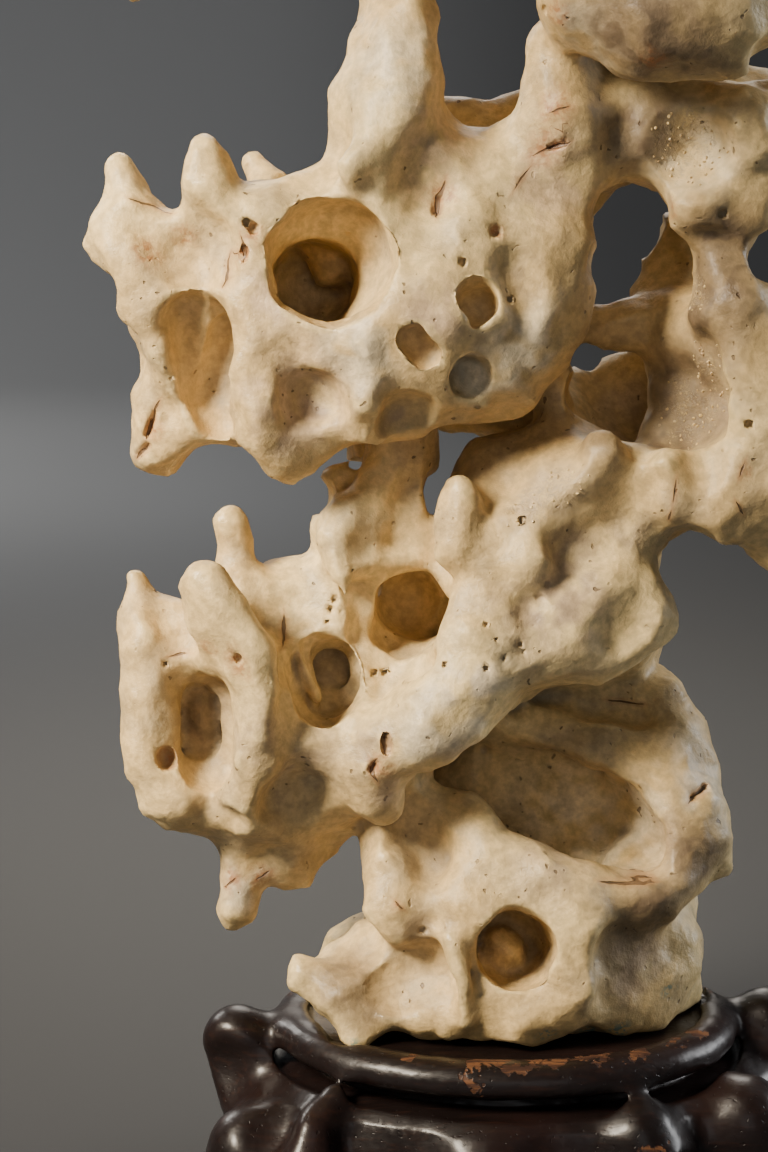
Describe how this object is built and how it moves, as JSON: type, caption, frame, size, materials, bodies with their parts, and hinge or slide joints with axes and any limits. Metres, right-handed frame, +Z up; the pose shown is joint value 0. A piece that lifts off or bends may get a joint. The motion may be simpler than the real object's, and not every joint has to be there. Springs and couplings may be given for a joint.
{
  "type": "scholar's rock with stand",
  "caption": "Pierced, weathered cream limestone scholar's rock with horns, hollows and windows, standing loosely on a low carved dark wooden stand.",
  "frame": {"origin": "middle of the stand's flat underside", "axes": "+Z up, -Y towards the stone's broad front face, +X to the right of someone who looks at that face"},
  "size_m": [0.235, 0.1416, 0.4827],
  "materials": {
    "stone": "waxy, weathered cream calcite, smooth on the ridges and sugary in the hollows",
    "wood": "dark red-brown lacquer, glossy, worn to orange wood along the rim"
  },
  "bodies": {
    "root": {"stone": "stone", "stand": "wood"}
  },
  "joints": []
}
